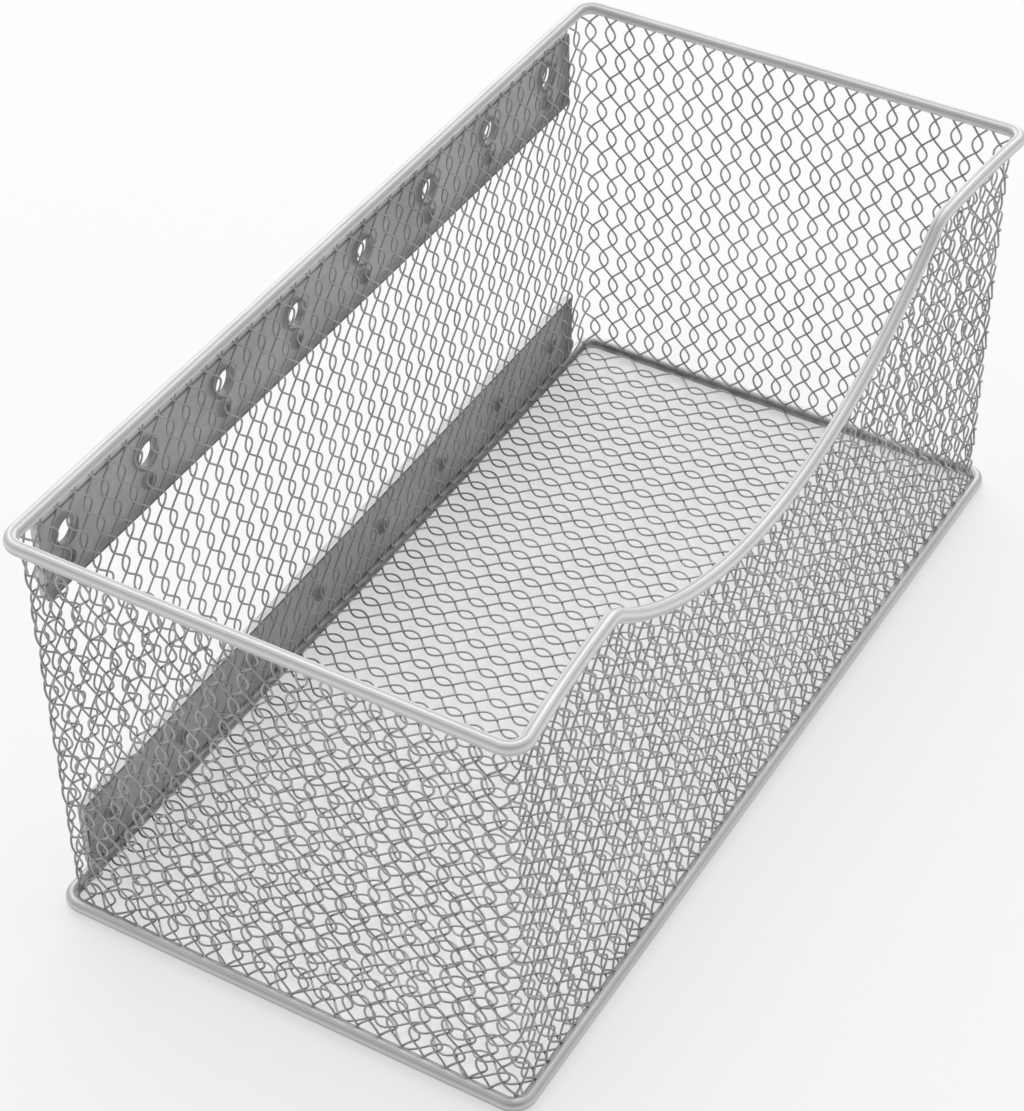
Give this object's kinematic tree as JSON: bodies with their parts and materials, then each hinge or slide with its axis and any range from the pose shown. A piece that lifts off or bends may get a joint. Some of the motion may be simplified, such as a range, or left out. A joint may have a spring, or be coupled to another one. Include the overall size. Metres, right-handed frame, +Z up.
{
  "type": "wire mesh storage basket",
  "caption": "Open-topped rectangular storage basket of hooked wire mesh, with a round-wire rim scooped at the front, a base ring and two folded strips at the back.",
  "frame": {"origin": "centre of the base, on the surface that the basket stands on", "axes": "+X along the length, scooped front towards -Y, back with its strips towards +Y, +Z up"},
  "size_m": [0.304, 0.154, 0.136],
  "materials": {
    "frame_wire": "satin plated steel wire",
    "mesh_wire": "satin plated fine wire",
    "strip_sheet": "matt dark grey sheet"
  },
  "bodies": {
    "root": {"top_rim": "frame_wire", "base_ring": "frame_wire", "floor_mesh": "mesh_wire", "front_mesh": "mesh_wire", "back_mesh": "mesh_wire", "left_end_mesh": "mesh_wire", "right_end_mesh": "mesh_wire", "upper_back_strip": "strip_sheet", "lower_back_strip": "strip_sheet"}
  },
  "joints": []
}
